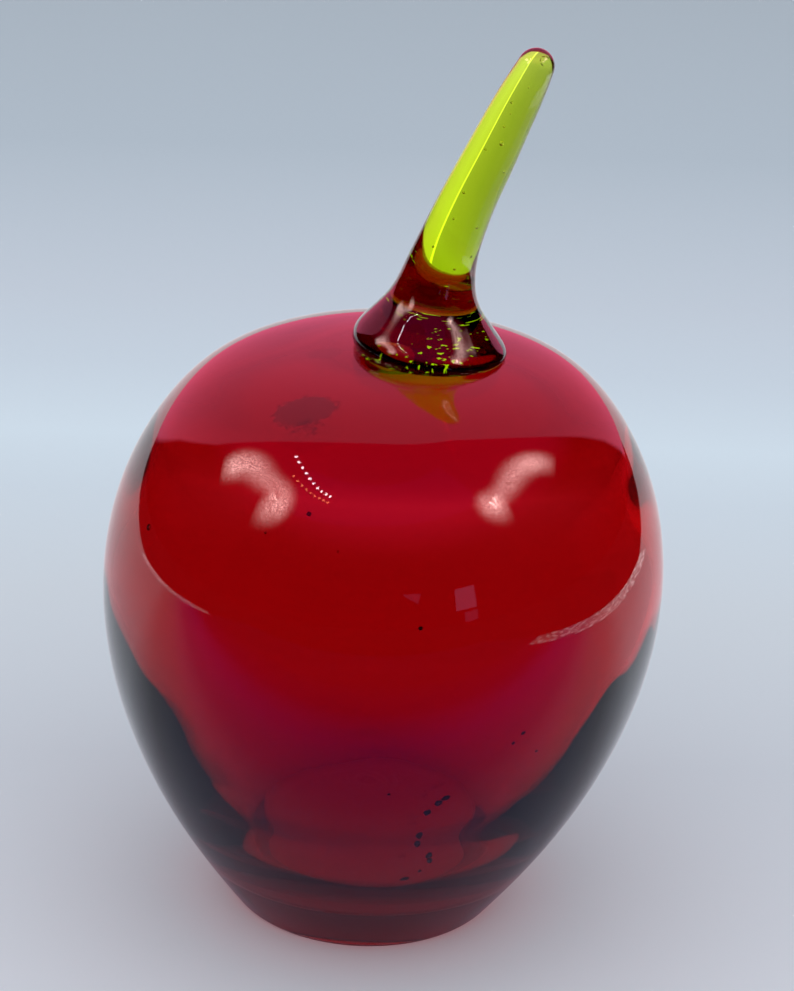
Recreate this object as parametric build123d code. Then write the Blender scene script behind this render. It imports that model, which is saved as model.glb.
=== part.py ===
from build123d import *
import os
from math import cos, radians, sin

# Art glass apple: a hollow blown ruby body that stands on a ground flat base, and a solid green
# stem whose flared foot is fused over the neck hole that the blowpipe left in the crown.
# Millimetres, +Z up, origin at the middle of the base. The stem leans towards +X.
# Both pieces are made upright, and take the sideways sag of the soft glass as their last step.

# Ruby body
body_radius = 65.0
body_height = 139.0
base_radius = 32.7
base_bevel = 0.8
floor_thickness = 12.8
side_wall = 3.8
crown_wall = 6.5
neck_hole_radius = 7.0

# Sideways sag: shift of each level to +X as a share of its height
lean_share = 0.0257

# Green stem, with its foot off the middle of the crown towards +X and the viewer at -Y
foot_radius = 17.45
foot_height = 18.0
foot_offset = 7.1
foot_setback = 2.5
foot_edge = 0.9
neck_radius = 8.1
stem_height = 68.5
stem_reach = 18.8
tip_radius = 4.15
plug_sag = 1.8
plug_round = 1.5

# How far a cut runs past the surface that it crosses
overrun = 2.5

# Side of the body from the bevel to the neck hole: radius as a share of body_radius, height as a
# share of body_height. A direction is given as shares of a step outwards and upwards.
side_shares = [
    (0.752, 0.182),
    (0.912, 0.347),
    (0.998, 0.541),
    (0.963, 0.716),
    (0.843, 0.847),
    (0.652, 0.944),
    (0.306, 0.993),
]
rising_shares = (0.595, 0.803)
inwards_shares = (-1.0, 0.0)
outwards_shares = (1.0, 0.0)

# Side of the cavity from the neck hole down to its floor: radius as a share of its largest radius,
# height as a share of its own height. Below the widest ring the wall grows thicker down to the floor.
cavity_shares = [
    (0.327, 0.994),
    (0.621, 0.950),
    (0.817, 0.879),
    (0.917, 0.762),
    (1.000, 0.595),
    (0.960, 0.428),
    (0.877, 0.311),
    (0.777, 0.211),
    (0.701, 0.144),
    (0.596, 0.069),
    (0.463, 0.014),
    (0.259, 0.001),
]

# Foot of the stem from its rim to the neck: height as a share of foot_height, shift as a share of
# stem_reach, how much of the flare is left, and the section's tilt in degrees.
foot_shares = [
    (0.050, 0.000, 1.000, 5.1),
    (0.167, -0.012, 0.894, 5.5),
    (0.289, -0.004, 0.714, 6.5),
    (0.422, 0.014, 0.507, 8.0),
    (0.583, 0.029, 0.282, 10.0),
    (0.778, 0.045, 0.111, 12.5),
    (1.000, 0.074, 0.000, 15.0),
]

# Rod from the neck to its last round section: height as a share of the way from the foot to the
# tip, shift as a share of stem_reach, how much of the taper is done, and the tilt in degrees.
rod_shares = [
    (0.108, 0.135, 0.226, 17.5),
    (0.238, 0.236, 0.367, 20.0),
    (0.389, 0.374, 0.482, 23.0),
    (0.562, 0.552, 0.574, 24.5),
    (0.735, 0.725, 0.692, 24.5),
    (0.886, 0.882, 0.826, 24.0),
    (1.000, 1.000, 1.000, 22.0),
]

# Underside of the foot: radius as a share of foot_radius where it meets the crown and where it is
# hidden in it, depth of the hidden end as a share of crown_wall, and the tilt in degrees.
contact_share = 0.975
hidden_share = 0.94
hidden_depth_share = 0.4
contact_tilt = 3.5


def lean(solid):
    """The solid with each level moved to +X in step with its height."""
    skew = Matrix([[1.0, 0.0, lean_share, 0.0], [0.0, 1.0, 0.0, 0.0], [0.0, 0.0, 1.0, 0.0]])
    return solid.transform_geometry(skew)


def curve(points, first_shares, last_shares):
    """A smooth curve in the XZ plane through points of radius and height, with its end directions."""
    ends = [(outwards, 0, upwards) for outwards, upwards in (first_shares, last_shares)]
    return Spline([(radius, 0, height) for radius, height in points], tangents=ends)


def upright_body():
    """The hollow body, turned from one outline that runs below the base for the flat cut."""
    ground = base_radius - base_bevel
    cavity_radius = body_radius - side_wall
    cavity_height = body_height - crown_wall - floor_thickness
    side = [(body_radius * radius, body_height * height) for radius, height in side_shares]
    cavity = []
    for radius, height in cavity_shares:
        cavity.append((cavity_radius * radius, floor_thickness + cavity_height * height))
    hole_top = (neck_hole_radius, body_height)
    hole_end = (neck_hole_radius, body_height - crown_wall)
    outline = [
        Line((0, 0, -overrun), (ground, 0, -overrun)),
        Line((ground, 0, -overrun), (ground, 0, 0)),
        Line((ground, 0, 0), (base_radius, 0, base_bevel)),
        curve([(base_radius, base_bevel), *side, hole_top], rising_shares, inwards_shares),
        Line((neck_hole_radius, 0, body_height), (neck_hole_radius, 0, body_height - crown_wall)),
        curve([hole_end, *cavity, (0, floor_thickness)], outwards_shares, inwards_shares),
        Line((0, 0, floor_thickness), (0, 0, -overrun)),
    ]
    return revolve(make_face(outline), Axis.Z)


def stem_section(height, shift, radius, tilt):
    """A round section of the stem, tilted towards +X."""
    centre = (foot_offset + shift, -foot_setback, body_height + height)
    normal = (sin(radians(tilt)), 0, cos(radians(tilt)))
    along = (cos(radians(tilt)), 0, -sin(radians(tilt)))
    return Plane(origin=centre, x_dir=along, z_dir=normal) * Circle(radius)


def stem_sections():
    """The stem's sections from the one hidden in the crown to the last one below the tip."""
    sections = [
        stem_section(-crown_wall * hidden_depth_share, 0, foot_radius * hidden_share, contact_tilt),
        stem_section(-foot_edge, 0, foot_radius * contact_share, contact_tilt),
    ]
    for rise, shift, flare, tilt in foot_shares:
        radius = neck_radius + (foot_radius - neck_radius) * flare
        sections.append(stem_section(foot_height * rise, stem_reach * shift, radius, tilt))
    rod_height = stem_height - tip_radius - foot_height
    for rise, shift, taper, tilt in rod_shares:
        radius = neck_radius + (tip_radius - neck_radius) * taper
        sections.append(stem_section(foot_height + rod_height * rise, stem_reach * shift, radius, tilt))
    return sections


def neck_plug():
    """The stem's glass in the neck hole, which sagged a little into the hollow."""
    low = body_height - crown_wall - plug_sag
    high = body_height + foot_edge
    plug = Pos(0, 0, (low + high) / 2) * Cylinder(neck_hole_radius, high - low)
    return fillet(plug.edges().group_by(Axis.Z)[0], plug_round)


def upright_stem(body):
    """The solid stem: flared foot on the crown, curved tapering rod, round tip, plug in the neck hole."""
    rod = loft(stem_sections())
    tip_height = body_height + stem_height - tip_radius
    tip = Pos(foot_offset + stem_reach, -foot_setback, tip_height) * Sphere(tip_radius)
    return (rod + tip + neck_plug()) - body


def ground_flat(body):
    """The body with all below the base cut away."""
    below = Pos(0, 0, -overrun) * Box(body_radius * 2, body_radius * 2, overrun * 2)
    return body - below


os.makedirs("parts", exist_ok=True)
blown = upright_body()
pieces = {"ruby_body": ground_flat(lean(blown)), "green_stem": lean(upright_stem(blown))}
for name, piece in pieces.items():
    export_step(piece, f"parts/{name}.step")
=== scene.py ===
"""Looks of the art glass apple: a hollow ruby body and a solid lime stem, both of hand-blown glass.

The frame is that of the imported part, in metres: +Z up, origin at the middle of the ground base, the stem
leaning to +X, and the camera on the -Y side. Class fields are in millimetres, apart from the studio's, which
are in metres. The glass is drawn upright, and leans as its last step.
"""
import logging
import math
from dataclasses import dataclass, field
from enum import Enum

import bmesh
import bpy
import numpy as np
from mathutils import Matrix, Vector, noise


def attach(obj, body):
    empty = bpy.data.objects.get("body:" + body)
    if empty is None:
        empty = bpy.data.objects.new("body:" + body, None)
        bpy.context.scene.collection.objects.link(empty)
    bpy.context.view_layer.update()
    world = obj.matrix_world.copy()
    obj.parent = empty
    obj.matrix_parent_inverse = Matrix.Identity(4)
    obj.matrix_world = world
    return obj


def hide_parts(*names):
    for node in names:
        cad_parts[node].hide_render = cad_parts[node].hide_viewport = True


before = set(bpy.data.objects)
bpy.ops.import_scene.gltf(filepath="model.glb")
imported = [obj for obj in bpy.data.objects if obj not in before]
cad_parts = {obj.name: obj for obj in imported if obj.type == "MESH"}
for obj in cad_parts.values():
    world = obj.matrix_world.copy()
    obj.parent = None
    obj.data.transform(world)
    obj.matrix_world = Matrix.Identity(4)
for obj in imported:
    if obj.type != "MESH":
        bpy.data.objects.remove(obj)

LOG = logging.getLogger("art_glass_apple")
MM = 0.001
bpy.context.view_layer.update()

Point = tuple[float, float]
Triple = tuple[float, float, float]
Rows = tuple[tuple[float, ...], ...]
Stops = tuple[tuple[float, str], ...]
Tree = bpy.types.NodeTree
Node = bpy.types.Node
Socket = bpy.types.NodeSocket

MATH = "ShaderNodeMath"
VECTOR = "ShaderNodeVectorMath"
RANGE = "ShaderNodeMapRange"
NOISE = "ShaderNodeTexNoise"
UP = Vector((0.0, 0.0, 1.0))
BLACK = (0.0, 0.0, 0.0, 1.0)
WHITE = (1.0, 1.0, 1.0, 1.0)

# Each grain's middle before the glass leans, its length and width, and its turn in degrees from level.
STONE_SPECKS = (
    (15.6, -57.6, 54.9, 2.0, 1.3, 24.0), (14.1, -58.0, 53.7, 1.9, 1.4, 30.0),
    (11.9, -57.7, 51.1, 1.9, 1.5, 50.0), (10.6, -55.3, 44.0, 2.0, 1.5, 80.0),
    (10.3, -54.3, 41.4, 2.0, 1.4, 95.0), (13.1, -51.5, 37.0, 2.0, 1.6, 75.0),
    (13.4, -51.0, 35.3, 1.6, 1.4, 100.0), (8.2, -48.9, 29.3, 2.2, 1.2, 25.0),
    (11.4, -49.6, 31.8, 0.9, 0.7, 40.0), (3.3, -60.6, 56.8, 0.8, 0.6, 10.0),
    (31.3, -54.8, 69.7, 1.1, 0.7, 30.0), (29.3, -55.6, 67.6, 0.9, 0.6, 40.0),
    (34.7, -51.7, 63.8, 0.8, 0.5, 0.0), (-17.1, -50.6, 117.4, 1.1, 1.0, 0.0),
    (7.6, -61.4, 96.9, 1.1, 0.9, 15.0),
)

# Place, radius and depth of each patch on the crown where the skin is darker and rougher.
CROWN_DARK_PATCHES = (
    (-16.1, -32.0, 133.8, 6.8, 0.8), (-12.5, -8.0, 138.1, 4.2, 0.3), (-1.3, -18.4, 138.1, 1.6, 0.45),
)


class Slot(Enum):
    """The record's material slots."""

    RUBY = "ruby_glass"
    LIME = "lime_glass"


def linear(hex_colour: str) -> tuple[float, float, float, float]:
    """Turns an sRGB hex colour into linear light.

    Args:
        hex_colour: Six hex digits, with or without a leading hash.

    Returns:
        Red, green, blue and an alpha of one.
    """
    digits = hex_colour.lstrip("#")
    shares = [int(digits[i:i + 2], 16) / 255 for i in (0, 2, 4)]
    light = [s / 12.92 if s <= 0.04045 else ((s + 0.055) / 1.055) ** 2.4 for s in shares]
    return (*light, 1.0)


def placed(name: str, data: bpy.types.ID) -> bpy.types.Object:
    """Makes an object.

    Args:
        name: Its name.
        data: Its mesh or camera.

    Returns:
        The object, linked to the scene.
    """
    item = bpy.data.objects.new(name, data)
    bpy.context.scene.collection.objects.link(item)
    return item


def cleared(owner: bpy.types.Material | bpy.types.World) -> Tree:
    """Turns nodes on, and empties their tree.

    Args:
        owner: The material or world that has them.

    Returns:
        The empty node tree.
    """
    owner.use_nodes = True
    owner.node_tree.nodes.clear()
    return owner.node_tree


def add(tree: Tree, kind: str, links: dict | list | tuple = (), **settings: str | float) -> Node:
    """Adds a node with its settings and links.

    Args:
        tree: The node tree that gets the node.
        kind: The node's type name.
        links: What the inputs take, by name or number, or in order from the first one: values, sockets, or
            nodes for their first output.
        settings: Values of the node's own properties.

    Returns:
        The new node.
    """
    node = tree.nodes.new(kind)
    for name, value in settings.items():
        setattr(node, name, value)
    for key, value in links.items() if isinstance(links, dict) else enumerate(links):
        if isinstance(value, Node):
            value = value.outputs[0]
        if isinstance(value, Socket):
            tree.links.new(value, node.inputs[key])
        else:
            node.inputs[key].default_value = value
    return node


def overlap(tree: Tree, first: Node | Socket, *others: Node | Socket | float) -> Socket:
    """Combines masks and shares, so that each one dims what the others let through.

    Args:
        tree: The node tree.
        first: The first mask.
        others: The masks and shares that follow.

    Returns:
        Socket with the product.
    """
    for other in others:
        first = add(tree, MATH, [first, other], operation="MULTIPLY").outputs[0]
    return first


def layered(tree: Tree, base: Socket | tuple, *layers: tuple[Node | Socket, Socket | tuple]) -> Socket:
    """Lays colours over a base colour, one after the other.

    Args:
        tree: The node tree.
        base: The base colour.
        layers: Each layer's share, from zero to one, and its colour.

    Returns:
        Socket with the colour that comes out.
    """
    for share, colour in layers:
        base = add(tree, "ShaderNodeMix", {0: share, 6: base, 7: colour}, data_type="RGBA").outputs[2]
    return base


def mirrored(tree: Tree) -> Socket:
    """One for rays that a glossy surface reflects, zero for all others."""
    paths = add(tree, "ShaderNodeLightPath")
    return overlap(tree, paths.outputs["Is Reflection Ray"], paths.outputs["Is Glossy Ray"])


def direction(azimuth: float, elevation: float) -> Triple:
    """World direction of an azimuth, 0 to -Y and 90 to +X, and an elevation in degrees."""
    a, e = math.radians(azimuth), math.radians(elevation)
    return (math.sin(a) * math.cos(e), -math.cos(a) * math.cos(e), math.sin(e))


def full_turn(steps: int) -> np.ndarray:
    """Angles in radians, evenly round a full turn."""
    return np.arange(steps) / steps * 2 * math.pi


def ripple(
    points: np.ndarray, height: float, length: float, seed: float, inwards: bool = False,
) -> np.ndarray:
    """Moves points of a blown skin nearer to or farther from the axis by soft noise.

    Args:
        points: The points in millimetres.
        height: Largest move.
        length: Distance from wave to wave.
        seed: Shift of the noise.
        inwards: True where no point may move outwards.

    Returns:
        The moved points.
    """
    moved = points.copy()
    for k, (x, y, z) in enumerate(points):
        wave = noise.noise(Vector((x / length + seed, y / length, z / length))) - float(inwards)
        share = 1 + height * wave / max(math.hypot(x, y), 1.0)
        moved[k, :2] = x * share, y * share
    return moved


def smooth_curve(points: list | tuple, first: tuple | None, last: tuple | None, steps: int) -> np.ndarray:
    """Samples the twice continuous cubic curve through some points.

    Args:
        points: The points, of any number of coordinates.
        first: Direction of the curve at its first point, or None for a free end.
        last: Direction of the curve at its last point, or None for a free end.
        steps: Samples in each stretch between two points.

    Returns:
        An array with one row for each sample, the last point included.
    """
    p = np.array(points, float)
    n = len(p)
    h = np.linalg.norm(np.diff(p, axis=0), axis=1)
    rows, right = np.zeros((n, n)), np.zeros_like(p)
    for i in range(1, n - 1):
        rows[i, i - 1:i + 2] = (1 / h[i - 1], 2 / h[i - 1] + 2 / h[i], 1 / h[i])
        right[i] = 3 * ((p[i] - p[i - 1]) / h[i - 1] ** 2 + (p[i + 1] - p[i]) / h[i] ** 2)
    for row, heading, stretch in ((0, first, 0), (n - 1, last, n - 2)):
        if heading is None:
            other = 1 if row == 0 else n - 2
            rows[row, row], rows[row, other] = 2, 1
            right[row] = 3 * (p[stretch + 1] - p[stretch]) / h[stretch]
        else:
            rows[row, row] = 1
            right[row] = np.array(heading) / np.linalg.norm(heading)
    slope = np.linalg.solve(rows, right)
    t = np.arange(steps)[:, None] / steps
    a, b, c = 2 * t ** 3 - 3 * t ** 2 + 1, t ** 3 - 2 * t ** 2 + t, t ** 3 - t ** 2
    found = []
    for i in range(n - 1):
        found.append(a * p[i] + b * h[i] * slope[i] + (1 - a) * p[i + 1] + c * h[i] * slope[i + 1])
    return np.vstack([*found, p[-1:]])


@dataclass
class GlassMesh:
    """A closed skin of glass, built ring by ring along its outline, with small bubbles in it.

    Each face has a share that says whether it is fused to the other glass, and some edges stay sharp.
    """

    name: str
    points: list[np.ndarray] = field(default_factory=list)
    faces: list[tuple[int, ...]] = field(default_factory=list)
    fused: list[float] = field(default_factory=list)
    sharp: set[tuple[int, int]] = field(default_factory=set)
    count: int = 0
    last: np.ndarray | None = None
    bubble_sides: int = 12
    bubble_steps: int = 7
    bubble_swell: float = 0.12

    def ring(self, ring: np.ndarray) -> np.ndarray:
        """Adds a ring of points.

        Args:
            ring: The points.

        Returns:
            Their numbers.
        """
        self.points.append(ring)
        numbers = np.arange(self.count, self.count + len(ring))
        self.count += len(ring)
        return numbers

    def strip(self, low: np.ndarray, high: np.ndarray, fused: bool = False) -> None:
        """Joins two rings of equal number, or a ring and a single point, with faces.

        Args:
            low: Numbers of the ring nearer to the start of the outline.
            high: Numbers of the next ring.
            fused: True where the faces are melted onto the other glass.
        """
        size = max(len(low), len(high))
        for j in range(size):
            k = (j + 1) % size
            corners = [high[j % len(high)], high[k % len(high)], low[k % len(low)], low[j % len(low)]]
            self.faces.append(tuple(dict.fromkeys(int(c) for c in corners)))
            self.fused.append(float(fused))

    def crease(self, ring: np.ndarray) -> None:
        """Keeps the edges of a ring sharp."""
        for j in range(len(ring)):
            self.sharp.add(tuple(sorted((int(ring[j]), int(ring[(j + 1) % len(ring)])))))

    def grow(self, points: np.ndarray, fused: bool = False, sharp: bool = False) -> None:
        """Adds the outline's next ring and joins it to the last one.

        Args:
            points: Points of the ring.
            fused: True where the faces up to it are melted onto the other glass.
            sharp: True where the ring's own edges stay sharp.
        """
        ring = self.ring(points)
        if self.last is not None:
            self.strip(ring, self.last, fused)
        if sharp:
            self.crease(ring)
        self.last = ring

    def bubble(self, centre: Triple, half: Triple, tilt: float = 0.0) -> None:
        """Adds a small hollow of trapped air, a little out of round.

        Args:
            centre: Its middle in millimetres, before the glass leans.
            half: Half its width, depth and height.
            tilt: Angle in degrees from upright towards +X.
        """
        a, turn = math.radians(tilt), full_turn(self.bubble_sides)
        swell = 1 + self.bubble_swell * np.sin(2 * turn + centre[2])
        last = None
        for step in range(self.bubble_steps + 1):
            polar = step * math.pi / self.bubble_steps
            x = half[0] * math.sin(polar) * np.cos(turn) * swell
            y = half[1] * math.sin(polar) * np.sin(turn) * swell
            z = np.full(self.bubble_sides, -half[2] * math.cos(polar))
            leaning = [x * math.cos(a) + z * math.sin(a), y, z * math.cos(a) - x * math.sin(a)]
            around = np.stack(leaning, axis=1) + centre
            ring = self.ring(around[:1] if step in (0, self.bubble_steps) else around)
            if last is not None:
                self.strip(last, ring)
            last = ring

    def finish(self, lean: float) -> bpy.types.Object:
        """Makes the object, leaning as soft glass sags.

        Args:
            lean: Shift to +X as a share of height.

        Returns:
            The object, linked to the scene.
        """
        points = np.vstack(self.points)
        points[:, 0] += points[:, 2] * lean
        mesh = bpy.data.meshes.new(self.name)
        mesh.from_pydata((points * MM).tolist(), [], self.faces)
        mesh.polygons.foreach_set("use_smooth", [True] * len(mesh.polygons))
        for edge in mesh.edges:
            if tuple(sorted(edge.vertices)) in self.sharp:
                edge.use_edge_sharp = True
        mesh.attributes.new("fused", "FLOAT", "FACE").data.foreach_set("value", self.fused)
        mesh.update()
        return placed(self.name, mesh)


@dataclass(frozen=True)
class GlassFinish:
    """Clear coloured art glass, fire polished: glossy all over, and dark where light goes far through it.

    Args:
        name: Common name of the glass and how it was worked.
        absorption: Light taken off red, green and blue, per millimetre.
        tint: Share of each that the skin, cased in a deeper glass, lets through.
        ior: Refractive index of soda-lime art glass.
        density_margin: Keeps a little of the colour that is absorbed most.
        fleck_share: How much of the fused face has a skin of air left in it.
        fleck_width: Width of such a fleck in millimetres.
        dark_patches: Place, radius and depth of each patch where the skin is darker and rougher.
        patch_tint: Share of each colour that the skin lets through at the deepest patch.
        patch_roughness: Roughness of the skin there.
        patch_grain: Width of the frays at a patch's rim, in millimetres.
        patch_fray: How far the frays reach, as a share of its radius.
        patch_rim: Where it ends and where it is full, as shares of its radius, frays counted in.
        patch_stretch: How much narrower than round it is along each axis.
    """

    name: str
    absorption: Triple
    tint: Triple = (1.0, 1.0, 1.0)
    ior: float = 1.5
    density_margin: float = 1.02
    fleck_share: float = 0.0
    fleck_width: float = 1.2
    dark_patches: Rows = ()
    patch_tint: Triple = (0.12, 0.09, 0.12)
    patch_roughness: float = 0.2
    patch_grain: float = 1.6
    patch_fray: float = 0.9
    patch_rim: Point = (1.6, 1.3)
    patch_stretch: Triple = (1.0, 1.5, 1.0)

    def patch_depth(self, tree: Tree, place: Socket) -> Socket:
        """How deep the darker, rougher patches on the crown are at each place of the skin.

        Args:
            tree: The material's node tree.
            place: Socket with the place in metres.

        Returns:
            Socket with the depth, from zero to one.
        """
        fray = add(tree, NOISE, {"Vector": place, "Scale": 1 / (self.patch_grain * MM), "Detail": 4.0})
        total = None
        for x, y, z, radius, depth in self.dark_patches:
            middle = (x * MM, y * MM, z * MM)
            away = add(tree, VECTOR, [place, middle], operation="SUBTRACT")
            away = add(tree, VECTOR, [away, self.patch_stretch], operation="MULTIPLY")
            away = add(tree, VECTOR, {0: away}, operation="LENGTH")
            reach = radius * self.patch_fray * MM
            away = add(tree, MATH, [fray, reach, away.outputs["Value"]], operation="MULTIPLY_ADD")
            mark = add(tree, RANGE, {
                "Value": away, "From Min": radius * self.patch_rim[0] * MM,
                "From Max": radius * self.patch_rim[1] * MM, "To Max": depth,
            }, interpolation_type="SMOOTHSTEP").outputs[0]
            if total is not None:
                mark = add(tree, MATH, [total, mark], operation="MAXIMUM").outputs[0]
            total = mark
        return total

    def build(self) -> bpy.types.Material:
        """Makes the material.

        Returns:
            A glass whose index falls to that of no boundary at all where it is fused to the other glass.
        """
        material = bpy.data.materials.new(self.name)
        tree = cleared(material)
        out = add(tree, "ShaderNodeOutputMaterial")
        fused = add(tree, "ShaderNodeAttribute", attribute_name="fused")
        place = add(tree, "ShaderNodeTexCoord").outputs["Object"]
        flecks = add(tree, NOISE, {"Vector": place, "Scale": 1 / (self.fleck_width * MM), "Detail": 2.0})
        melted = add(tree, MATH, [flecks, self.fleck_share], operation="GREATER_THAN")
        joined = overlap(tree, fused.outputs["Fac"], melted)
        index = add(tree, RANGE, {"Value": joined, "To Min": self.ior, "To Max": 1.0})
        skin = add(tree, "ShaderNodeBsdfPrincipled", {
            "Base Color": (*self.tint, 1.0), "Roughness": 0.0, "Transmission Weight": 1.0, "IOR": index,
        })
        # Patches on the crown: a darker tint and more roughness on the skin there.
        if self.dark_patches:
            deep = self.patch_depth(tree, place)
            cased = layered(tree, (*self.tint, 1.0), (deep, (*self.patch_tint, 1.0)))
            tree.links.new(cased, skin.inputs["Base Color"])
            tree.links.new(overlap(tree, deep, self.patch_roughness), skin.inputs["Roughness"])
        density = max(self.absorption) * self.density_margin / MM
        kept = [1 - share / MM / density for share in self.absorption]
        depth = add(tree, "ShaderNodeVolumeAbsorption", {"Color": (*kept, 1.0), "Density": density})
        tree.links.new(skin.outputs[0], out.inputs["Surface"])
        tree.links.new(depth.outputs[0], out.inputs["Volume"])
        return material


@dataclass
class RubyBody:
    """The blown body: outer side, ground base, thick floor, thin wall and the neck hole in the crown.

    Its collar is the ring on the crown where the rings begin to turn to the rim of the stem's foot, and its
    seat is the crown under that foot. The lower cavity is shifted a little off the axis to +X.
    """

    radius: float = 65.0
    height: float = 139.0
    base_radius: float = 32.7
    base_bevel: float = 0.8
    floor: float = 12.8
    side_wall: float = 3.8
    crown_wall: float = 6.5
    hole_radius: float = 7.0
    lean: float = 0.0257
    # Radius and height along the outer side and the cavity, as shares, from the part's own drawing.
    side: tuple[Point, ...] = (
        (0.752, 0.182), (0.912, 0.347), (0.998, 0.541), (0.963, 0.716), (0.843, 0.847), (0.652, 0.944),
        (0.306, 0.993),
    )
    rising: Point = (0.595, 0.803)
    cavity: tuple[Point, ...] = (
        (0.327, 0.994), (0.621, 0.950), (0.817, 0.879), (0.917, 0.762), (1.0, 0.595), (0.960, 0.428),
        (0.877, 0.311), (0.777, 0.211), (0.701, 0.144), (0.596, 0.069), (0.463, 0.014), (0.259, 0.001),
    )
    # Points round each ring, rings on the base as shares of its radius, and rings in each stretch.
    segments: int = 256
    base_rings: tuple[float, ...] = (0.25, 0.5, 0.75, 1.0)
    side_steps: int = 22
    cavity_steps: int = 16
    collar_steps: int = 14
    seat_steps: int = 8
    hole_steps: int = 4
    collar_radius: float = 30.0
    crown_from: float = 0.6
    # Slow waves of the blown skins: depth, length, shift of the noise, and where they fade.
    side_ripple: float = 0.02
    side_wave: float = 21.0
    side_seed: float = 3.0
    base_fade: float = 12.0
    collar_fade: float = 18.0
    cavity_ripple: float = 0.16
    cavity_wave: float = 15.0
    cavity_seed: float = 8.0
    roof_fade: float = 10.0
    middle_fade: float = 12.0
    # Shift of the lower cavity: how far, below which height, over which height and within which radius.
    cavity_shift: float = 0.35
    shift_below: float = 95.0
    shift_span: float = 45.0
    shift_round: float = 20.0
    # Place and size of each trapped bubble, before the glass leans.
    bubbles: Rows = (
        (-52.0, -30.0, 104.1, 0.75), (-26.0, -50.0, 112.5, 0.3), (11.1, -60.2, 57.6, 0.16),
        (8.1, -57.6, 47.9, 0.15), (-2.6, -57.7, 46.8, 0.15), (31.4, -55.7, 80.7, 0.15),
        (26.8, -56.4, 63.1, 0.15), (6.7, -63.0, 74.8, 0.12), (43.0, 36.0, 92.0, 0.3),
        (-38.0, 44.0, 70.0, 0.25), (55.0, 20.0, 66.0, 0.2), (-12.0, 57.0, 55.0, 0.35),
    )
    bubble_depth: float = 0.8

    def outer(self) -> np.ndarray:
        """The outline of the outer side.

        Returns:
            Radius and height of each of its rings, from the bevel to the neck hole.
        """
        points = [(self.base_radius, self.base_bevel)]
        points += [(self.radius * r, self.height * z) for r, z in self.side]
        points.append((self.hole_radius, self.height))
        return smooth_curve(points, self.rising, (-1.0, 0.0), self.side_steps)

    def inner(self) -> np.ndarray:
        """The outline of the cavity.

        Returns:
            Radius and height of each of its rings, from the neck hole to the middle of its floor.
        """
        widest = self.radius - self.side_wall
        tall = self.height - self.crown_wall - self.floor
        points = [(self.hole_radius, self.height - self.crown_wall)]
        points += [(widest * r, self.floor + tall * z) for r, z in self.cavity]
        points.append((0.0, self.floor))
        return smooth_curve(points, (1.0, 0.0), (-1.0, 0.0), self.cavity_steps)

    def crown(self, points: np.ndarray) -> np.ndarray:
        """Height of the crown over or under some points.

        Args:
            points: The points, up to the widest ring from the axis.

        Returns:
            The heights of the outer side there.
        """
        line = self.outer()
        top = line[line[:, 1] > self.height * self.crown_from][::-1]
        across = np.hypot(points[..., 0], points[..., 1])
        return np.interp(across, top[:, 0], top[:, 1], left=self.height)

    def ring(self, radius: float, height: float) -> np.ndarray:
        """A level ring of points."""
        turn, level = full_turn(self.segments), np.full(self.segments, height)
        return np.stack([radius * np.cos(turn), radius * np.sin(turn), level], axis=1)

    def side_ring(self, radius: float, height: float) -> np.ndarray:
        """A ring of the outer side, with the waves of a blown skin.

        Args:
            radius: Its radius.
            height: Its height.

        Returns:
            The points of the ring.
        """
        if height > self.height / 2:
            fade = min(1.0, (radius - self.collar_radius) / self.collar_fade)
        else:
            fade = min(1.0, height / self.base_fade)
        level = self.ring(radius, height)
        return ripple(level, self.side_ripple * fade, self.side_wave, self.side_seed, inwards=True)

    def cavity_ring(self, radius: float, height: float) -> np.ndarray:
        """A ring of the cavity, with the waves of a blown skin and the shift of its lower part.

        Args:
            radius: Its radius.
            height: Its height.

        Returns:
            The points of the ring.
        """
        fade = min(1.0, (self.height - self.crown_wall - height) / self.roof_fade, radius / self.middle_fade)
        level = self.ring(radius, height)
        ring = ripple(level, self.cavity_ripple * fade, self.cavity_wave, self.cavity_seed)
        low = min(1.0, max(0.0, (self.shift_below - height) / self.shift_span))
        ring[:, 0] += self.cavity_shift * low * min(1.0, radius / self.shift_round)
        return ring

    def between(self, first: np.ndarray, rim: np.ndarray, share: float, lift: float = 0.0) -> np.ndarray:
        """A ring on the crown between another one and the rim of the stem's foot.

        Args:
            first: Points of the other ring.
            rim: Points of the rim.
            share: Zero at the other ring, one at the rim.
            lift: Height over the crown in millimetres.

        Returns:
            The points of the ring.
        """
        ring = first * (1 - share) + rim * share
        ring[:, 2] = self.crown(ring) + lift
        return ring

    def build(self, rim: np.ndarray) -> bpy.types.Object:
        """Makes the skin of the body.

        Args:
            rim: Points where the rim of the stem's foot meets the crown.

        Returns:
            The piece.
        """
        skin = GlassMesh("ruby_body_glass")
        skin.grow(np.array([[0.0, 0.0, 0.0]]))
        for share in self.base_rings:
            skin.grow(self.ring((self.base_radius - self.base_bevel) * share, 0.0), sharp=share == 1.0)
        skin.grow(self.ring(self.base_radius, self.base_bevel), sharp=True)
        for radius, height in self.outer()[1:]:
            if height > self.height * self.crown_from and radius < self.collar_radius:
                break
            skin.grow(self.side_ring(radius, height))
        collar = self.ring(self.collar_radius, 0.0)
        for step in range(self.collar_steps + 1):
            skin.grow(self.between(collar, rim, step / self.collar_steps))
        hole = self.ring(self.hole_radius, self.height)
        for step in range(self.seat_steps - 1, -1, -1):
            skin.grow(self.between(hole, rim, step / self.seat_steps), fused=True, sharp=step == 0)
        for step in range(1, self.hole_steps + 1):
            height = self.height - self.crown_wall * step / self.hole_steps
            skin.grow(self.ring(self.hole_radius, height), fused=True, sharp=step == self.hole_steps)
        for radius, height in self.inner()[1:-1]:
            skin.grow(self.cavity_ring(radius, height))
        skin.grow(np.array([[0.0, 0.0, self.floor]]))
        for x, y, z, size in self.bubbles:
            skin.bubble((x, y, z), (size, size * self.bubble_depth, size))
        return skin.finish(self.lean)


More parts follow.
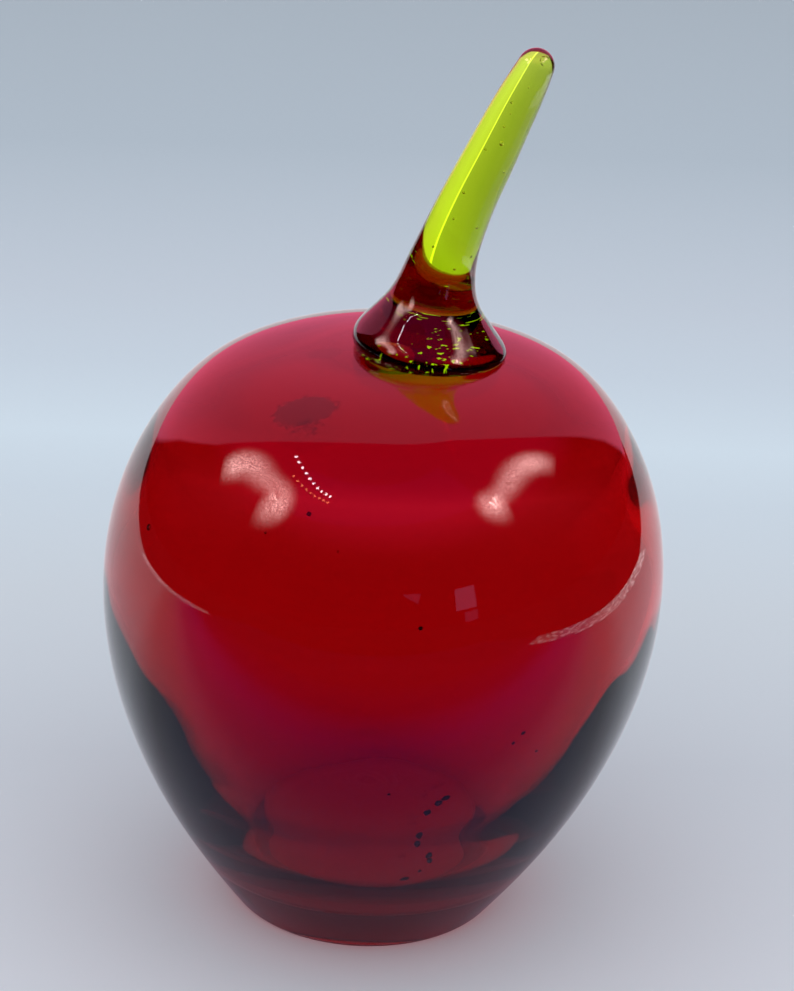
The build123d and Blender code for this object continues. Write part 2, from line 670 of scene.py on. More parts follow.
@dataclass
class LimeStem:
    """The stem: a flared foot on the crown, a curved tapering rod, a round tip and the plug in the hole."""

    body: RubyBody
    foot_radius: float = 17.45
    foot_height: float = 18.0
    foot_offset: float = 7.1
    foot_setback: float = 2.5
    foot_edge: float = 0.9
    contact_share: float = 0.975
    contact_tilt: float = 3.5
    neck_radius: float = 8.1
    height: float = 68.5
    reach: float = 18.8
    tip_radius: float = 4.15
    plug_sag: float = 1.8
    plug_round: float = 1.5
    # Gap to the body, too thin to see, that keeps the two skins apart.
    seam: float = 0.012
    # Height, shift, flare or taper, and tilt of the sections, from the part's own drawing.
    foot: Rows = (
        (0.050, 0.000, 1.000, 5.1), (0.167, -0.012, 0.894, 5.5), (0.289, -0.004, 0.714, 6.5),
        (0.422, 0.014, 0.507, 8.0), (0.583, 0.029, 0.282, 10.0), (0.778, 0.045, 0.111, 12.5),
        (1.000, 0.074, 0.000, 15.0),
    )
    rod: Rows = (
        (0.108, 0.135, 0.226, 17.5), (0.238, 0.236, 0.367, 20.0), (0.389, 0.374, 0.482, 23.0),
        (0.562, 0.552, 0.574, 24.5), (0.735, 0.725, 0.692, 24.5), (0.886, 0.882, 0.826, 24.0),
        (1.000, 1.000, 1.000, 22.0),
    )
    # Rings under the plug as shares of its flat, round its edge, round the tip, in each stretch between
    # sections, and moved onto the crown.
    plug_rings: Point = (0.4, 0.8)
    plug_steps: int = 6
    tip_steps: int = 9
    section_steps: int = 12
    blended_rings: int = 24
    # Place and size of each trapped bubble, and place and tilt of each part of the curl of air in the tip.
    seeds: Rows = (
        (24.6, -4.0, 199.3, 0.22), (21.6, -3.5, 195.7, 0.32), (21.3, -4.5, 193.5, 0.2),
        (20.2, -3.0, 190.3, 0.26), (24.3, -4.2, 190.1, 0.2), (19.6, -4.0, 186.9, 0.55),
        (19.7, -3.0, 180.7, 0.3), (21.8, -4.5, 181.1, 0.34), (10.9, -4.0, 169.4, 0.3),
        (15.0, -5.0, 168.1, 0.36), (7.1, -4.5, 162.8, 0.3), (14.4, -6.0, 161.5, 0.34),
        (10.8, -5.0, 158.3, 0.3), (17.5, 0.5, 184.0, 0.22), (13.5, 1.0, 174.0, 0.28), (9.0, 2.0, 152.0, 0.3),
    )
    seed_width: float = 0.8
    seed_tilt: float = 24.0
    curl: Rows = (
        (26.9, -4.7, 204.4, -40.0), (26.6, -4.6, 205.3, 10.0), (27.2, -4.5, 206.0, 75.0),
        (28.1, -4.4, 205.9, 130.0),
    )
    curl_half: Triple = (0.13, 0.13, 0.42)

    def sections(self) -> np.ndarray:
        """The sections of the flare and the rod, close together.

        Returns:
            Height over the crown, shift to +X, radius and tilt of each.
        """
        found = [(-self.foot_edge, 0.0, self.foot_radius * self.contact_share, self.contact_tilt)]
        for rise, shift, flare, tilt in self.foot:
            radius = self.neck_radius + (self.foot_radius - self.neck_radius) * flare
            found.append((self.foot_height * rise, self.reach * shift, radius, tilt))
        rod_height = self.height - self.tip_radius - self.foot_height
        for rise, shift, taper, tilt in self.rod:
            radius = self.neck_radius + (self.tip_radius - self.neck_radius) * taper
            found.append((self.foot_height + rod_height * rise, self.reach * shift, radius, tilt))
        return smooth_curve(found, None, None, self.section_steps)

    def ring(self, section: np.ndarray, rise: float = 0.0) -> np.ndarray:
        """The ring of points of one section.

        Args:
            section: Its height, shift, radius and tilt.
            rise: Angle in degrees from the section towards a round end.

        Returns:
            The points, in the order of the body's rings.
        """
        height, shift, radius, tilt = section
        turn = full_turn(self.body.segments)
        a, b = math.radians(tilt), math.radians(rise)
        along = np.array([math.cos(a), 0.0, -math.sin(a)])
        normal = np.array([math.sin(a), 0.0, math.cos(a)])
        centre = np.array([self.foot_offset + shift, -self.foot_setback, self.body.height + height])
        flat = np.cos(turn)[:, None] * along + np.sin(turn)[:, None] * np.array([0.0, 1.0, 0.0])
        return centre + flat * radius * math.cos(b) + normal * radius * math.sin(b)

    def flanks(self) -> tuple[np.ndarray, np.ndarray]:
        """The rings of the rod and the flare, and the rim where they meet the crown.

        Returns:
            All rings of sections from the crown up, with the first one moved onto the crown, and the rim.
        """
        rings = np.array([self.ring(section) for section in self.sections()])
        over = rings[:, :, 2] - self.body.crown(rings)
        rim = np.zeros_like(rings[0])
        blended = self.blended_rings
        for j in range(rings.shape[1]):
            k = int(np.argmax(over[:, j] > 0))
            share = over[k - 1, j] / (over[k - 1, j] - over[k, j]) if k else 0.0
            rim[j] = rings[k - 1, j] * (1 - share) + rings[k, j] * share if k else rings[0, j]
            start = k - 1 + share if k else 0.0
            at = start + (blended - start) * np.arange(blended) / blended
            low = np.minimum(at.astype(int), blended)
            part = (at - low)[:, None]
            high = np.minimum(low + 1, blended)
            rings[:blended, j] = rings[low, j] * (1 - part) + rings[high, j] * part
        return rings, rim

    def build(self) -> bpy.types.Object:
        """Makes the skin of the stem.

        Returns:
            The piece.
        """
        skin = GlassMesh("green_stem_glass")
        rings, rim = self.flanks()
        body = self.body
        hole = body.hole_radius - self.seam
        roof = body.height - body.crown_wall
        low = roof - self.plug_sag
        skin.grow(np.array([[0.0, 0.0, low]]))
        for share in self.plug_rings:
            skin.grow(body.ring((hole - self.plug_round) * share, low))
        for step in range(self.plug_steps + 1):
            turn = math.radians(step * 90 / self.plug_steps)
            across = hole - self.plug_round * (1 - math.sin(turn))
            skin.grow(body.ring(across, low + self.plug_round * (1 - math.cos(turn))))
        skin.grow(body.ring(hole, roof))
        for step in range(body.hole_steps - 1, 0, -1):
            skin.grow(body.ring(hole, body.height - body.crown_wall * step / body.hole_steps), fused=True)
        start = body.ring(body.hole_radius, body.height)
        for step in range(body.seat_steps + 1):
            points = body.between(start, rim, step / body.seat_steps, self.seam)
            if step == 0:
                points[:, :2] *= hole / body.hole_radius
            skin.grow(points, fused=True, sharp=step in (0, body.seat_steps))
        for points in rings[1:]:
            skin.grow(points)
        end = self.sections()[-1]
        for step in range(1, self.tip_steps):
            skin.grow(self.ring(end, step * 90 / self.tip_steps))
        skin.grow(self.ring(end, 90)[:1])
        for x, y, z, size in self.seeds:
            skin.bubble((x, y, z), (size * self.seed_width, size * self.seed_width, size), self.seed_tilt)
        for x, y, z, tilt in self.curl:
            skin.bubble((x, y, z), self.curl_half, tilt)
        return skin.finish(body.lean)


@dataclass(frozen=True)
class InclusionFinish:
    """Small solid things shut in the glass: dull and finely spotted, so that they stand out from its gloss.

    Args:
        name: Common name of the inclusions.
        main: Colour of most of one.
        spot: Colour of its spots.
        spot_width: Width of a spot in millimetres.
        relief: Height of the spots in millimetres.
        rough: Roughness between the spots and on them.
    """

    name: str
    main: str
    spot: str
    spot_width: float = 0.5
    relief: float = 0.1
    rough: Point = (0.55, 0.8)

    def build(self) -> bpy.types.Material:
        """Makes the material.

        Returns:
            A dull solid with a fine relief of spots.
        """
        material = bpy.data.materials.new(self.name)
        tree = cleared(material)
        out = add(tree, "ShaderNodeOutputMaterial")
        place = add(tree, "ShaderNodeTexCoord").outputs["Object"]
        spots = add(tree, NOISE, {"Vector": place, "Scale": 1 / (self.spot_width * MM), "Detail": 3.0})
        tone = layered(tree, linear(self.main), (spots, linear(self.spot)))
        rough = add(tree, RANGE, {"Value": spots, "To Min": self.rough[0], "To Max": self.rough[1]})
        relief = add(tree, "ShaderNodeBump", {"Height": spots, "Distance": self.relief * MM, "Strength": 0.6})
        grain = add(tree, "ShaderNodeBsdfPrincipled", {
            "Base Color": tone, "Roughness": rough, "Normal": relief,
        })
        tree.links.new(grain.outputs[0], out.inputs["Surface"])
        return material


@dataclass
class Specks:
    """Small grains shut in the glass.

    Args:
        name: Name of the piece.
        lean: Shift of the glass to +X as a share of height.
        specks: Middle of each in millimetres before the glass leans, length, width and turn in degrees.
        depth: Half the depth of a grain in millimetres.
        lumps: How uneven a grain is, as a share of its size.
        lump_rate: How many lumps there are along a grain.
    """

    name: str
    lean: float
    specks: Rows
    depth: float = 0.5
    lumps: float = 0.35
    lump_rate: float = 1.3

    def build(self) -> bpy.types.Object:
        """Makes the grains.

        Returns:
            The piece.
        """
        form = bmesh.new()
        for x, y, z, long, wide, turn in self.specks:
            grain = bmesh.ops.create_icosphere(form, subdivisions=2, radius=1.0)["verts"]
            out = Vector((x, y, 0.0)).normalized()
            level = Vector((-out.y, out.x, 0.0))
            a = math.radians(turn)
            along = level * math.cos(a) + UP * math.sin(a)
            across = out.cross(along)
            for vert in grain:
                lump = 1 + self.lumps * noise.noise(vert.co * self.lump_rate + Vector((x, y, z)))
                place = along * vert.co.x * long / 2 + across * vert.co.y * wide / 2
                place += out * vert.co.z * self.depth
                vert.co = (Vector((x + z * self.lean, y, z)) + place * lump) * MM
        mesh = bpy.data.meshes.new(self.name)
        form.to_mesh(mesh)
        form.free()
        mesh.polygons.foreach_set("use_smooth", [True] * len(mesh.polygons))
        return placed(self.name, mesh)


@dataclass(frozen=True)
class Glow:
    """A lit shape of the studio, which only shows as a reflection in the glass.

    Args:
        name: What it is.
        line: Azimuth, elevation and half width in degrees along its middle.
        strength: Its radiance.
        colour: Its colour.
        grain: How much its brightness changes from place to place, from zero to one.
        soft: True where its rims fade out.
        beads: Number of small lamps in it, or zero where it is one surface.
        distance: Distance from the middle of the scene in metres.
        rim_fade: Power by which it fades to its rims.
        end_fade: How steeply it fades to its ends.
        dip: Half of how much dimmer its middle is.
        cloth_scale: Places of uneven brightness per metre.
        cloth_range: Values of their noise at the darkest and the brightest.
        line_steps: Faces in each stretch along a surface.
        rows: Points across a surface.
        sides: Corners of a small lamp.
    """

    name: str
    line: tuple[Triple, ...]
    strength: float
    colour: str = "#ffffff"
    grain: float = 0.0
    soft: bool = True
    beads: int = 0
    distance: float = 2.5
    rim_fade: int = 3
    end_fade: float = 6.0
    dip: float = 0.25
    cloth_scale: float = 32.0
    cloth_range: Point = (0.3, 0.7)
    line_steps: int = 6
    rows: int = 17
    sides: int = 8

    def share(self, along: float, across: float) -> float:
        """Brightness share at a place of the surface: dimmer at its middle, and fading to its rims.

        Args:
            along: Place along it, from zero to one.
            across: Place across it, from minus one to one.

        Returns:
            The share, from zero to one.
        """
        if not self.soft:
            return 1.0
        ends = min(1.0, self.end_fade * min(along, 1 - along))
        middle = 1 - self.dip + self.dip * math.cos(2 * math.pi * along)
        return (1 - across * across) ** self.rim_fade * middle * ends

    def surface(self) -> tuple[list, list, list]:
        """The mesh of one ribbon.

        Returns:
            Its points, its faces and the brightness share of each point.
        """
        path = np.array(self.line, float)
        if len(path) > 2:
            path = smooth_curve(self.line, None, None, self.line_steps)
        aims = np.array([direction(a, e) for a, e, _ in path])
        points, faces, shares = [], [], []
        for i, aim in enumerate(aims):
            ahead = aims[min(i + 1, len(aims) - 1)] - aims[max(i - 1, 0)]
            across = np.cross(aim, ahead)
            across /= np.linalg.norm(across)
            for u in np.linspace(-1.0, 1.0, self.rows):
                points.append((aim + across * u * math.tan(math.radians(path[i][2]))) * self.distance)
                shares.append(self.share(i / (len(aims) - 1), u))
        for i in range(len(aims) - 1):
            for j in range(self.rows - 1):
                k = i * self.rows + j
                faces.append((k, k + 1, k + self.rows + 1, k + self.rows))
        return points, faces, shares

    def row(self) -> tuple[list, list, list]:
        """The mesh of a row of small round lamps.

        Returns:
            Its points, its faces and the brightness share of each point.
        """
        line = np.array(self.line)
        points, faces = [], []
        for k in np.linspace(0, len(line) - 1, self.beads):
            azimuth, elevation, half = (np.interp(k, range(len(line)), line[:, c]) for c in range(3))
            aim = Vector(direction(azimuth, elevation))
            across = aim.orthogonal().normalized()
            above = aim.cross(across)
            size = math.tan(math.radians(half))
            faces.append(tuple(range(len(points), len(points) + self.sides)))
            for corner in range(self.sides):
                a = corner * math.pi * 2 / self.sides
                points.append((aim + (across * math.cos(a) + above * math.sin(a)) * size) * self.distance)
        return points, faces, [1.0] * len(points)

    def build(self) -> None:
        """Makes the shape, which only rays that a glossy surface reflects see."""
        points, faces, shares = self.row() if self.beads else self.surface()
        mesh = bpy.data.meshes.new(self.name)
        mesh.from_pydata([tuple(point) for point in points], [], faces)
        mesh.attributes.new("share", "FLOAT", "POINT").data.foreach_set("value", shares)
        shape = placed(self.name, mesh)
        for ray in ("camera", "diffuse", "transmission", "volume_scatter", "shadow"):
            setattr(shape, "visible_" + ray, False)
        material = bpy.data.materials.new(self.name)
        material.cycles.emission_sampling = "NONE"
        tree = cleared(material)
        out = add(tree, "ShaderNodeOutputMaterial")
        share = add(tree, "ShaderNodeAttribute", attribute_name="share")
        place = add(tree, "ShaderNodeTexCoord").outputs["Object"]
        cloth = add(tree, NOISE, {"Vector": place, "Scale": self.cloth_scale, "Detail": 4.0})
        fleck = add(tree, RANGE, {
            "Value": cloth, "From Min": self.cloth_range[0], "From Max": self.cloth_range[1],
            "To Min": 1 - self.grain, "To Max": 1 + self.grain,
        })
        power = overlap(tree, share.outputs["Fac"], fleck, mirrored(tree), self.strength)
        light = add(tree, "ShaderNodeEmission", {"Color": linear(self.colour), "Strength": power})
        clear = add(tree, "ShaderNodeBsdfTransparent")
        both = add(tree, "ShaderNodeAddShader", [light, clear])
        tree.links.new(both.outputs[0], out.inputs["Surface"])
        mesh.materials.append(material)


LAMPS = (
    Glow("soft_lamp_left", (
        (-96.0, 31.0, 6.8), (-93.0, 35.0, 8.4), (-89.0, 40.0, 9.6), (-79.0, 42.5, 9.0), (-67.4, 42.4, 7.4),
        (-59.5, 41.4, 7.0), (-57.2, 38.6, 7.8), (-60.0, 35.4, 8.8), (-68.0, 32.6, 8.2),
    ), 13.0, "#ffd2cc", 0.8),
    Glow("soft_lamp_right", (
        (99.0, 34.0, 7.0), (93.4, 42.0, 8.6), (80.0, 45.8, 9.2), (66.0, 43.2, 8.0), (56.5, 42.0, 7.2),
        (52.6, 41.4, 7.4), (55.0, 39.0, 8.0), (63.0, 36.6, 8.0),
    ), 13.0, "#ffd2cc", 0.8),
    Glow("white_lamp_row", (
        (-75.9, 57.5, 0.75), (-66.2, 55.9, 0.75), (-57.8, 54.0, 0.7), (-50.6, 51.9, 0.65), (-44.5, 50.2, 0.6),
        (-39.3, 49.0, 0.6), (-34.8, 48.5, 0.6),
    ), 20.0, "#f4f6ff", beads=10, soft=False),
    Glow("orange_lamp_row", (
        (-62.0, 50.0, 0.6), (-55.0, 48.6, 0.6), (-49.0, 47.4, 0.55), (-43.6, 46.6, 0.5), (-38.8, 46.2, 0.5),
        (-34.4, 45.8, 0.5),
    ), 9.0, "#ff9a68", beads=9, soft=False),
    Glow("pale_pane_middle", ((13.4, 12.8, 2.0), (7.1, 14.5, 0.3)), 0.45, "#c79ae0", soft=False),
    Glow("pale_pane_right", ((31.7, 14.85, 3.9), (32.1, 6.85, 4.1)), 0.9, "#d8a8e8", soft=False),
    Glow("pale_pane_low", ((33.9, 6.0, 2.7), (34.1, 2.4, 2.5)), 0.45, "#c79ae0", soft=False),
    Glow("room_ceiling", (
        (-56.0, 46.6, 10.2), (-30.0, 47.6, 9.5), (-6.0, 49.4, 9.2), (20.0, 51.4, 10.2), (46.0, 54.5, 12.2),
    ), 0.14, "#8018c8", soft=False),
)


@dataclass
class LightTent:
    """The pale studio round the apple: its floor, its soft walls and its dark front opening.

    Directions are world directions: azimuth 0 points to -Y, and 90 to +X. Lengths are in metres.
    """

    # Walls, as bent, low bent and mirrored rays see them, and the room seen through the front opening.
    wall: str = "#e6e9f0"
    seen_wall: str = "#a6b1bc"
    mirrored_wall: str = "#f07096"
    mirrored_strength: float = 1.6
    low_wall: Point = (0.5, 0.05)
    room_low: str = "#000000"
    room_high: str = "#ff1450"
    room_rise: Point = (0.42, 0.72)
    bent_share: float = 0.3
    # Depth at which the opening ends by height, both as shares of a direction.
    left_edge: tuple[Point, ...] = (
        (-0.3, 0.93), (-0.07, 0.846), (0.225, 0.6), (0.5, 0.31), (0.731, 0.142), (0.883, 0.049), (1.0, -0.03),
    )
    right_edge: tuple[Point, ...] = (
        (-0.3, 0.9), (-0.122, 0.803), (0.035, 0.754), (0.191, 0.669), (0.407, 0.524), (0.682, 0.321),
        (0.848, 0.199), (0.956, 0.114), (1.0, -0.03),
    )
    edge_soft: float = 0.015
    # Paper of the floor from front to back, as it looks, its brightness steps painted light and shade,
    # and as mirrored rays see it.
    paper: Stops = (
        (-0.06, "#ecf0f5"), (0.06, "#dce2e8"), (0.16, "#dfe7ec"), (0.24, "#dfebf2"), (0.29, "#e4f2f9"),
        (0.36, "#dae6ee"), (0.44, "#d4dee6"), (0.66, "#c0cdd5"), (1.0, "#b7c4cb"),
    )
    # Painted shade for mirrored rays only: the paper darkens and turns violet towards the front.
    shaded_paper: Stops = (
        (-0.3, "#160c40"), (-0.2, "#2a1468"), (-0.14, "#5546be"), (-0.09, "#6c6cbc"), (-0.062, "#a29cd0"),
        (-0.045, "#aaaeca"), (0.0, "#c0c0cb"), (0.05, "#f0f4fa"), (0.3, "#ffffff"),
    )
    floor_radius: float = 8.0
    floor_sides: int = 96
    fade: Point = (1.05, 2.4)
    far_paper: str = "#adb8c3"
    # Edges of the sheet that mirrored rays see, the slanting line where the paper rises behind it, and
    # painted glints of crumpled foil at the sheet's sides, an emission that only mirrored rays see.
    sheet_left: float = -0.73
    sheet_right: float = 0.45
    sheet_front: float = -0.59
    sweep_start: float = 0.25
    sweep_slope: float = 1.5
    foil_width: float = 0.08
    foil_reach: float = 0.26
    foil_glint: float = 3.5
    foil_scale: float = 60.0
    foil_range: Point = (0.45, 0.7)
    # Painted red light: emission on the paper under and round the base, standing in for the light
    # that the glass throws there.
    base_glow: str = "#ff2a40"
    glow_strength: float = 0.075
    glow_radius: float = 0.036
    glow_full: float = 0.8
    halo_strength: float = 0.045
    halo_radius: float = 0.058
    # Painted window light: emission on the paper behind, right of a slanting line, for rays with fewer bends
    # than hollow glass gives.
    solid_bends: float = 2.5
    window_start: float = 0.111
    window_slope: float = 2.18
    window_soft: float = 0.006
    window_light: float = 0.34
    rim_width: float = 0.04
    rim_light: float = 0.75

    def edge(self, tree: Tree, height: Socket, points: tuple[Point, ...]) -> Node:
        """The depth at which the opening ends, by height.

        Args:
            tree: The world's node tree.
            height: Socket with the direction's height, from -1 to 1.
            points: Pairs of height and depth.

        Returns:
            Node that gives the depth.
        """
        share = add(tree, RANGE, {"Value": height, "From Min": -1.0, "From Max": 1.0})
        curve = add(tree, "ShaderNodeFloatCurve", {"Value": share})
        line = curve.mapping.curves[0]
        line.points[0].location = (0.0, points[0][1])
        line.points[1].location = (1.0, max(points[-1][1], 0.0))
        for z, depth in points[:-1]:
            line.points.new((z + 1) / 2, max(depth, 0.0))
        for point in line.points:
            point.handle_type = "VECTOR"
        curve.mapping.update()
        return curve

    def build_world(self) -> None:
        """Makes the world."""
        world = bpy.data.worlds.new("light tent")
        bpy.context.scene.world = world
        tree = cleared(world)
        out = add(tree, "ShaderNodeOutputWorld")
        place = add(tree, "ShaderNodeTexCoord")
        way = add(tree, "ShaderNodeSeparateXYZ", {0: place.outputs["Generated"]})
        paths = add(tree, "ShaderNodeLightPath")
        bent, height = paths.outputs["Is Transmission Ray"], way.outputs[2]
        side = add(tree, MATH, [way, 0.0], operation="GREATER_THAN")
        left, right = (self.edge(tree, height, points) for points in (self.left_edge, self.right_edge))
        depth = add(tree, "ShaderNodeMix", {0: side, 2: left, 3: right})
        past = add(tree, MATH, [depth, way.outputs[1]], operation="SUBTRACT")
        opening = add(tree, RANGE, {
            "Value": past, "From Min": -self.edge_soft, "From Max": self.edge_soft,
        }, interpolation_type="SMOOTHSTEP")
        shades = [overlap(tree, opening, mirrored(tree)), overlap(tree, opening, bent, self.bent_share)]
        shade = add(tree, MATH, shades, operation="ADD")
        rise = add(tree, RANGE, {
            "Value": height, "From Min": self.room_rise[0], "From Max": self.room_rise[1],
        }, interpolation_type="SMOOTHSTEP")
        low = add(tree, RANGE, {"Value": height, "From Min": self.low_wall[0], "From Max": self.low_wall[1]})
        shown = layered(
            tree, linear(self.wall),
            (overlap(tree, low, bent), linear(self.seen_wall)),
            (mirrored(tree), linear(self.mirrored_wall)),
            (shade, layered(tree, linear(self.room_low), (rise, linear(self.room_high)))),
            (paths.outputs["Is Camera Ray"], linear(self.seen_wall)),
        )
        power = add(tree, RANGE, {"Value": mirrored(tree), "To Min": 1.0, "To Max": self.mirrored_strength})
        back = add(tree, "ShaderNodeBackground", {"Color": shown, "Strength": power})
        tree.links.new(back.outputs[0], out.inputs["Surface"])

    def blend(self, tree: Tree, depth: Socket, stops: Stops) -> Socket:
        """Colour of the paper from its front to its back.

        Args:
            tree: The floor's node tree.
            depth: Socket with the place from front to back in metres.
            stops: Places with their colours, in order.

        Returns:
            Socket with the colour.
        """
        first, last = stops[0][0], stops[-1][0]
        share = add(tree, RANGE, {"Value": depth, "From Min": first, "From Max": last})
        tone = add(tree, "ShaderNodeValToRGB", {0: share})
        ramp = tone.color_ramp.elements
        ramp[0].color, ramp[1].color = linear(stops[0][1]), linear(stops[-1][1])
        for place, colour in stops[1:-1]:
            ramp.new((place - first) / (last - first)).color = linear(colour)
        return tone.outputs[0]

    def sunlit(self, tree: Tree, way: Node) -> Socket:
        """Painted window light: emission on the paper behind the apple, right of a slanting edge,
        as solid glass shows it.

        The stem bends the view through its left third onto this place. Hollow glass shows plain paper.

        Args:
            tree: The floor's node tree.
            way: Node that gives the place on the floor in metres.

        Returns:
            Socket with the strength of the light.
        """
        paths = add(tree, "ShaderNodeLightPath")
        bends = paths.outputs["Transmission Depth"]
        solid = add(tree, MATH, [bends, self.solid_bends], operation="LESS_THAN")
        line = add(tree, MATH, [way, self.window_slope, self.window_start], operation="MULTIPLY_ADD")
        past = add(tree, MATH, [line, way.outputs[1]], operation="SUBTRACT")
        inside = add(tree, RANGE, {"Value": past, "From Max": self.window_soft})
        behind = add(tree, MATH, [way.outputs[1], 0.0], operation="GREATER_THAN")
        rim = add(tree, MATH, [past, self.rim_width], operation="LESS_THAN")
        power = add(tree, MATH, [rim, self.rim_light, self.window_light], operation="MULTIPLY_ADD")
        lit = overlap(tree, inside, behind)
        return overlap(tree, power, lit, overlap(tree, solid, paths.outputs["Is Transmission Ray"]))

    def sheet(self, tree: Tree, way: Node) -> tuple[Node, Node]:
        """The sheet of paper round the apple.

        Args:
            tree: The floor's node tree.
            way: Node that gives the place on the floor in metres.

        Returns:
            How far each place is inside the sheet's sides, and one where the sheet is.
        """
        left = add(tree, MATH, [way, self.sheet_left], operation="SUBTRACT")
        right = add(tree, MATH, [self.sheet_right, way], operation="SUBTRACT")
        side = add(tree, MATH, [left, right], operation="MINIMUM")
        front = add(tree, MATH, [way.outputs[1], self.sheet_front], operation="SUBTRACT")
        inside = add(tree, MATH, [side, front], operation="MINIMUM")
        return side, add(tree, MATH, [inside, 0.0], operation="GREATER_THAN")

    def foil(self, tree: Tree, way: Node, side: Node, sheet: Node) -> Socket:
        """Painted glints of crumpled foil along the sheet's sides: an emission which only mirrored rays see.

        Args:
            tree: The floor's node tree.
            way: Node that gives the place on the floor in metres.
            side: How far each place is inside the sheet's sides.
            sheet: One where the sheet is.

        Returns:
            Socket with the strength of the light.
        """
        place = add(tree, "ShaderNodeTexCoord").outputs["Object"]
        crumple = add(tree, NOISE, {"Vector": place, "Scale": self.foil_scale, "Detail": 4.0})
        low, high = self.foil_range
        glint = add(tree, RANGE, {
            "Value": crumple, "From Min": low, "From Max": high, "To Max": self.foil_glint,
        })
        half = self.foil_width / 2
        strip = add(tree, MATH, [side, half, half], operation="COMPARE")
        ends = add(tree, MATH, [way.outputs[1], 0.0, self.foil_reach], operation="COMPARE")
        return overlap(tree, strip, sheet, ends, glint, mirrored(tree))

    def build_floor(self) -> None:
        """Makes the floor."""
        mesh = bpy.data.meshes.new("studio_floor")
        rim = [(self.floor_radius * math.cos(t), self.floor_radius * math.sin(t), 0.0)
               for t in full_turn(self.floor_sides)]
        mesh.from_pydata(rim, [], [tuple(range(self.floor_sides))])
        floor = placed("studio_floor", mesh)
        material = bpy.data.materials.new("matt paper sweep")
        tree = cleared(material)
        out = add(tree, "ShaderNodeOutputMaterial")
        place = add(tree, "ShaderNodeTexCoord").outputs["Object"]
        way = add(tree, "ShaderNodeSeparateXYZ", {0: place})
        reach = add(tree, VECTOR, {0: place}, operation="LENGTH").outputs["Value"]
        far = add(tree, RANGE, {
            "Value": reach, "From Min": self.fade[0], "From Max": self.fade[1],
        }, interpolation_type="SMOOTHSTEP")
        side, sheet = self.sheet(tree, way)
        past = add(tree, MATH, [side, 0.0], operation="MINIMUM")
        back = add(tree, MATH, [past, self.sweep_slope, way.outputs[1]], operation="MULTIPLY_ADD")
        behind = add(tree, MATH, [back, self.sweep_start], operation="GREATER_THAN")
        pale = add(tree, MATH, [sheet, behind], operation="MAXIMUM")
        paper, shaded = (self.blend(tree, way.outputs[1], stops) for stops in (self.paper, self.shaded_paper))
        # Mirrored rays see the painted shade on the sheet and the sweep, and black everywhere else.
        shaded = layered(tree, BLACK, (pale, shaded))
        colour = layered(tree, paper, (far, linear(self.far_paper)), (mirrored(tree), shaded))
        # Painted pool of red light under the base, and a fainter painted halo round it.
        full = self.glow_radius * self.glow_full
        under = add(tree, RANGE, {
            "Value": reach, "From Min": self.glow_radius, "From Max": full, "To Max": self.glow_strength,
        }, interpolation_type="SMOOTHSTEP")
        halo = add(tree, RANGE, {
            "Value": reach, "From Min": self.halo_radius, "From Max": full, "To Max": self.halo_strength,
        }, interpolation_type="SMOOTHERSTEP")
        red = add(tree, MATH, [under, halo], operation="ADD")
        glowing = add(tree, MATH, [red, 0.0], operation="GREATER_THAN")
        # Emission on the paper: painted foil glints, painted red light round the base, and painted window
        # light.
        power = add(tree, MATH, [self.foil(tree, way, side, sheet), red], operation="ADD")
        power = add(tree, MATH, [power, self.sunlit(tree, way)], operation="ADD")
        paper = add(tree, "ShaderNodeBsdfPrincipled", {
            "Base Color": colour, "Roughness": 0.9, "Specular IOR Level": 0.1, "Emission Strength": power,
            "Emission Color": layered(tree, WHITE, (glowing, linear(self.base_glow))),
        })
        tree.links.new(paper.outputs[0], out.inputs["Surface"])
        material.cycles.emission_sampling = "NONE"
        mesh.materials.append(material)


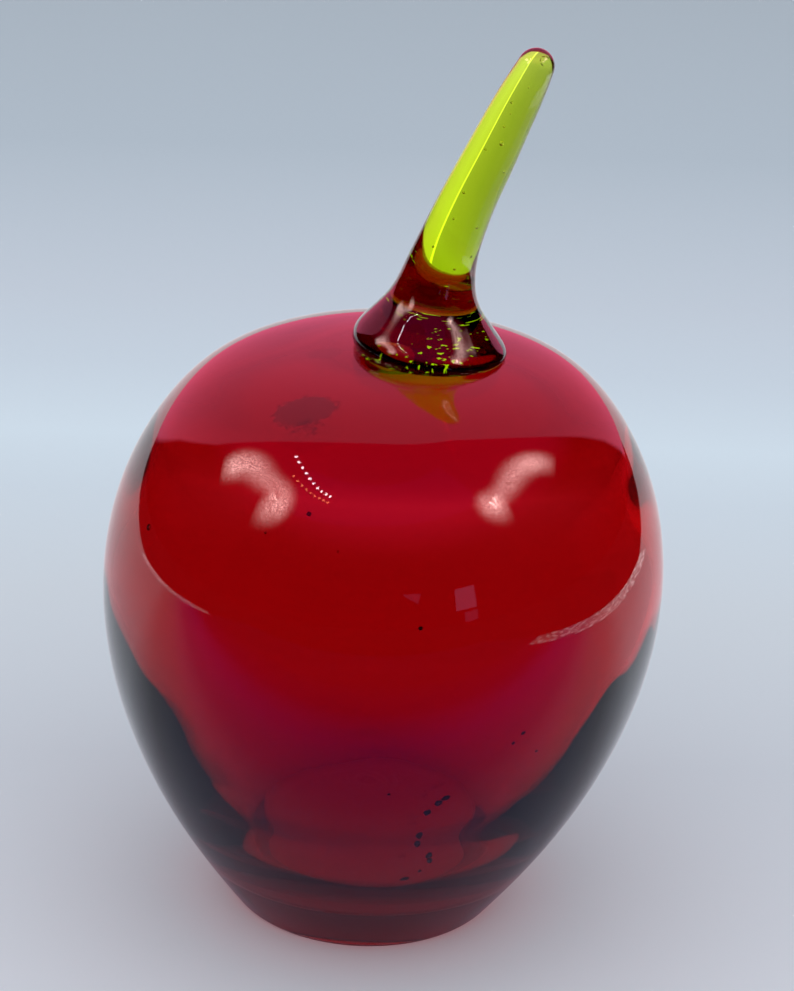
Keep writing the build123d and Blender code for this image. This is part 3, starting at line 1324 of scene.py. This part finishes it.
@dataclass(frozen=True)
class ViewCamera:
    """The camera at the viewing angle of the photograph.

    Args:
        place: Where it stands.
        aim: What it looks at.
        roll: Its turn about its own axis, in degrees.
        lens: Focal length.
        sensor: Width of its sensor.
    """

    place: Triple = (0.0, -583.9, 345.7)
    aim: Triple = (4.65, 0.0, 101.19)
    roll: float = 2.09
    lens: float = 99.75
    sensor: float = 36.0

    def build(self) -> None:
        """Makes the camera and turns it to its aim."""
        data = bpy.data.cameras.new("view_camera")
        camera = placed("view_camera", data)
        data.lens, data.sensor_width = self.lens, self.sensor
        data.clip_start, data.clip_end = 0.01, 20.0
        ahead = (Vector(self.aim) - Vector(self.place)).normalized()
        right = ahead.cross(UP).normalized()
        up = right.cross(ahead)
        turn = math.radians(self.roll)
        across = right * math.cos(turn) + up * math.sin(turn)
        above = up * math.cos(turn) - right * math.sin(turn)
        facing = Matrix((across, above, -ahead)).transposed().to_4x4()
        camera.matrix_world = Matrix.Translation(Vector(self.place) * MM) @ facing
        bpy.context.scene.camera = camera


def main() -> None:
    """Builds the apple and its studio, and reports each piece."""
    logging.basicConfig(level=logging.INFO, format="%(name)s: %(message)s")
    scene = bpy.context.scene
    scene.view_settings.view_transform = "Standard"
    scene.cycles.max_bounces = 24
    scene.cycles.transmission_bounces = 24
    scene.cycles.glossy_bounces = 12
    ViewCamera().build()
    tent = LightTent()
    tent.build_world()
    tent.build_floor()
    for lamp in LAMPS:
        lamp.build()
    ruby = GlassFinish(
        "ruby glass, blown and fire polished", (0.036, 0.5, 0.42), tint=(0.84, 0.45, 0.45),
        dark_patches=CROWN_DARK_PATCHES,
    )
    lime = GlassFinish(
        "lime glass, hot worked and fire polished", (0.024, 0.007, 0.3), tint=(0.86, 0.88, 0.8),
        fleck_share=0.36,
    )
    body = RubyBody()
    stem = LimeStem(body)
    rim = stem.flanks()[1]
    for piece, finish, slot, node in (
        (body.build(rim), ruby, Slot.RUBY, "ruby_body"),
        (stem.build(), lime, Slot.LIME, "green_stem"),
    ):
        piece.data.materials.append(finish.build())
        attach(piece, "root")
        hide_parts(node)
        LOG.info("%s: %d faces, %s", piece.name, len(piece.data.polygons), finish.name)
    stone = InclusionFinish("furnace stone, shut in the glass", "#120a09", "#3a1a14")
    specks = Specks("ruby_body_specks", body.lean, STONE_SPECKS).build()
    specks.data.materials.append(stone.build())
    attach(specks, "root")
    LOG.info("%s: %d faces, %s", specks.name, len(specks.data.polygons), stone.name)
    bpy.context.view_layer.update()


if __name__ == "__main__":
    main()
